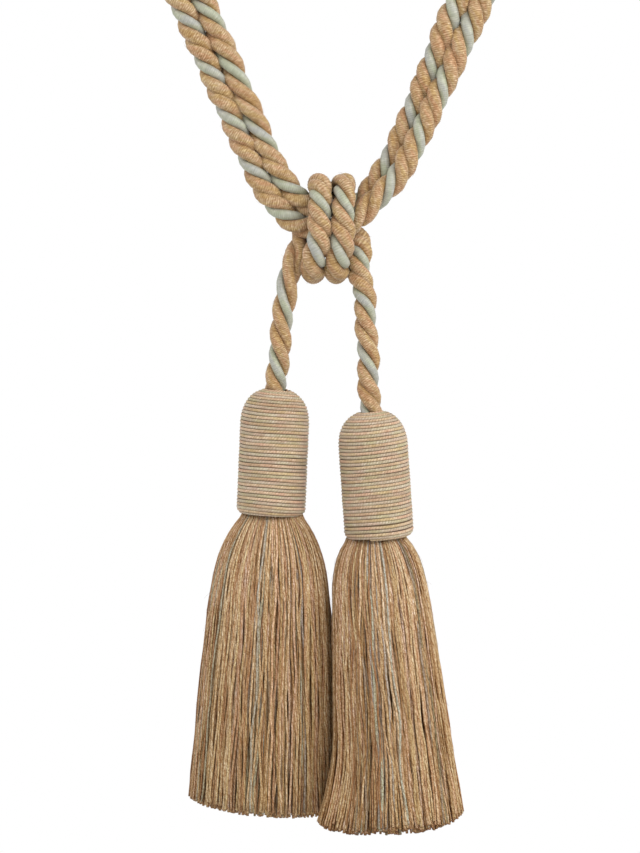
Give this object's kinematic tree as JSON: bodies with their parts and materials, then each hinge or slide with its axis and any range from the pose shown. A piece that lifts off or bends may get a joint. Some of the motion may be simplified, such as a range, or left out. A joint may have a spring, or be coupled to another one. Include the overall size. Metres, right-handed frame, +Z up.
{
  "type": "tassel curtain tieback",
  "caption": "Curtain tieback of twisted rope: a doubled loop, a second rope hitched round it, and hanging tassels with wound domed heads and long cut-yarn skirts.",
  "frame": {"origin": "the hook point, on the underside of the inner rope at the top of the loop", "axes": "+Z up, front of the knot and tassels facing -Y, +X to the right seen from the front"},
  "size_m": [0.2076, 0.0997, 0.6207],
  "materials": {
    "twisted_rope": "three-strand rope, two strands of golden jute gimp and one of sea-green cotton gimp",
    "wound_head": "close rows of fine yarn, tan and grey-green in turn, wound over a turned mould",
    "yarn_skirt": "dry plied jute yarns with a few grey-green ones, cut at the foot"
  },
  "bodies": {
    "root": {"embrace_inner": "twisted_rope", "embrace_outer": "twisted_rope", "tassel_cord": "twisted_rope", "head_left": "wound_head", "head_right": "wound_head", "skirt_left": "yarn_skirt", "skirt_right": "yarn_skirt"}
  },
  "joints": []
}
